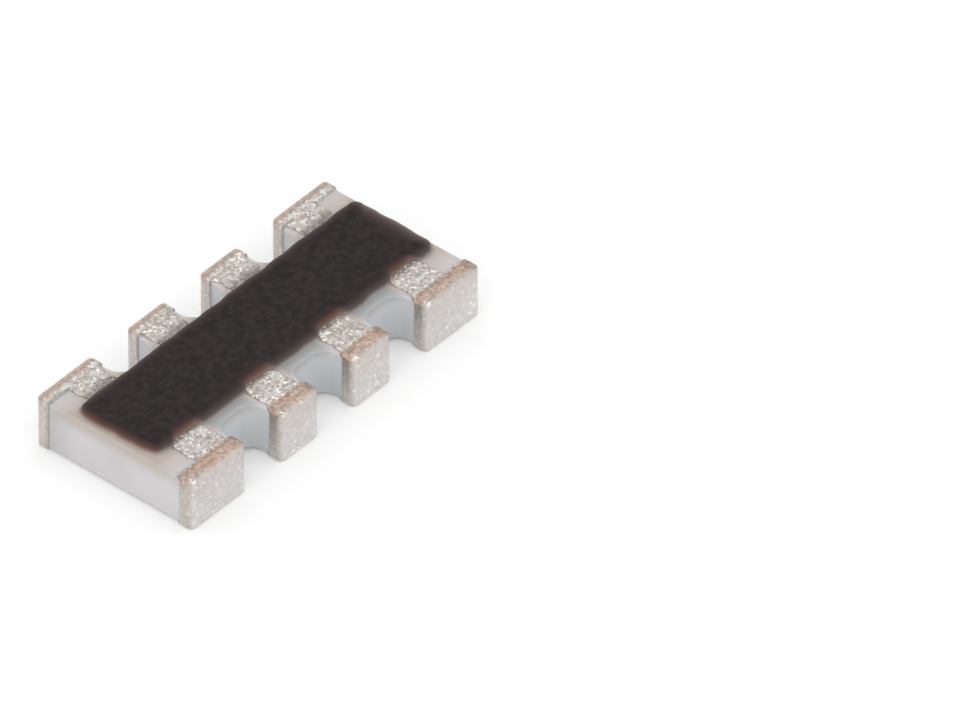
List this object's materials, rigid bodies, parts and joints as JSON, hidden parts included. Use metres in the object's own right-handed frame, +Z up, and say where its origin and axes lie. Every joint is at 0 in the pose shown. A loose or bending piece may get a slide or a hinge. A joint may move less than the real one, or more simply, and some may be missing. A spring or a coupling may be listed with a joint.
{
  "type": "resistor network",
  "caption": "Flat ceramic chip of separate resistors under a black coat, with tin wrap-around solder terminals on lugs between round notches along both long sides.",
  "frame": {"origin": "middle of the chip on the plane of its solder faces", "axes": "+X along the rows of terminals, +Y across the chip, +Z up through the coated face"},
  "size_m": [0.0032, 0.0016, 0.0005],
  "materials": {
    "alumina": "fine-grained unglazed white alumina, satin",
    "black_coat": "printed and cured resin, satin, thin and brownish at the rim",
    "tin": "matte electroplated tin with a coarse bright grain",
    "nickel": "plain electroplated nickel, hidden under the tin",
    "silver_contact": "printed and fired silver, hidden under the coat and the plating",
    "edge_metal": "edge metal, hidden under the plating",
    "resistor_film": "dark printed film with a trim cut, hidden under the coat"
  },
  "bodies": {
    "root": {"ceramic_substrate": "alumina", "resistor_film_1": "resistor_film", "resistor_film_2": "resistor_film", "resistor_film_3": "resistor_film", "resistor_film_4": "resistor_film", "top_contact_1": "silver_contact", "top_contact_2": "silver_contact", "top_contact_3": "silver_contact", "top_contact_4": "silver_contact", "top_contact_5": "silver_contact", "top_contact_6": "silver_contact", "top_contact_7": "silver_contact", "top_contact_8": "silver_contact", "bottom_contact_1": "silver_contact", "bottom_contact_2": "silver_contact", "bottom_contact_3": "silver_contact", "bottom_contact_4": "silver_contact", "bottom_contact_5": "silver_contact", "bottom_contact_6": "silver_contact", "bottom_contact_7": "silver_contact", "bottom_contact_8": "silver_contact", "edge_contact_1": "edge_metal", "edge_contact_2": "edge_metal", "edge_contact_3": "edge_metal", "edge_contact_4": "edge_metal", "edge_contact_5": "edge_metal", "edge_contact_6": "edge_metal", "edge_contact_7": "edge_metal", "edge_contact_8": "edge_metal", "nickel_barrier_1": "nickel", "nickel_barrier_2": "nickel", "nickel_barrier_3": "nickel", "nickel_barrier_4": "nickel", "nickel_barrier_5": "nickel", "nickel_barrier_6": "nickel", "nickel_barrier_7": "nickel", "nickel_barrier_8": "nickel", "tin_terminal_1": "tin", "tin_terminal_2": "tin", "tin_terminal_3": "tin", "tin_terminal_4": "tin", "tin_terminal_5": "tin", "tin_terminal_6": "tin", "tin_terminal_7": "tin", "tin_terminal_8": "tin", "protective_coat": "black_coat"}
  },
  "joints": []
}
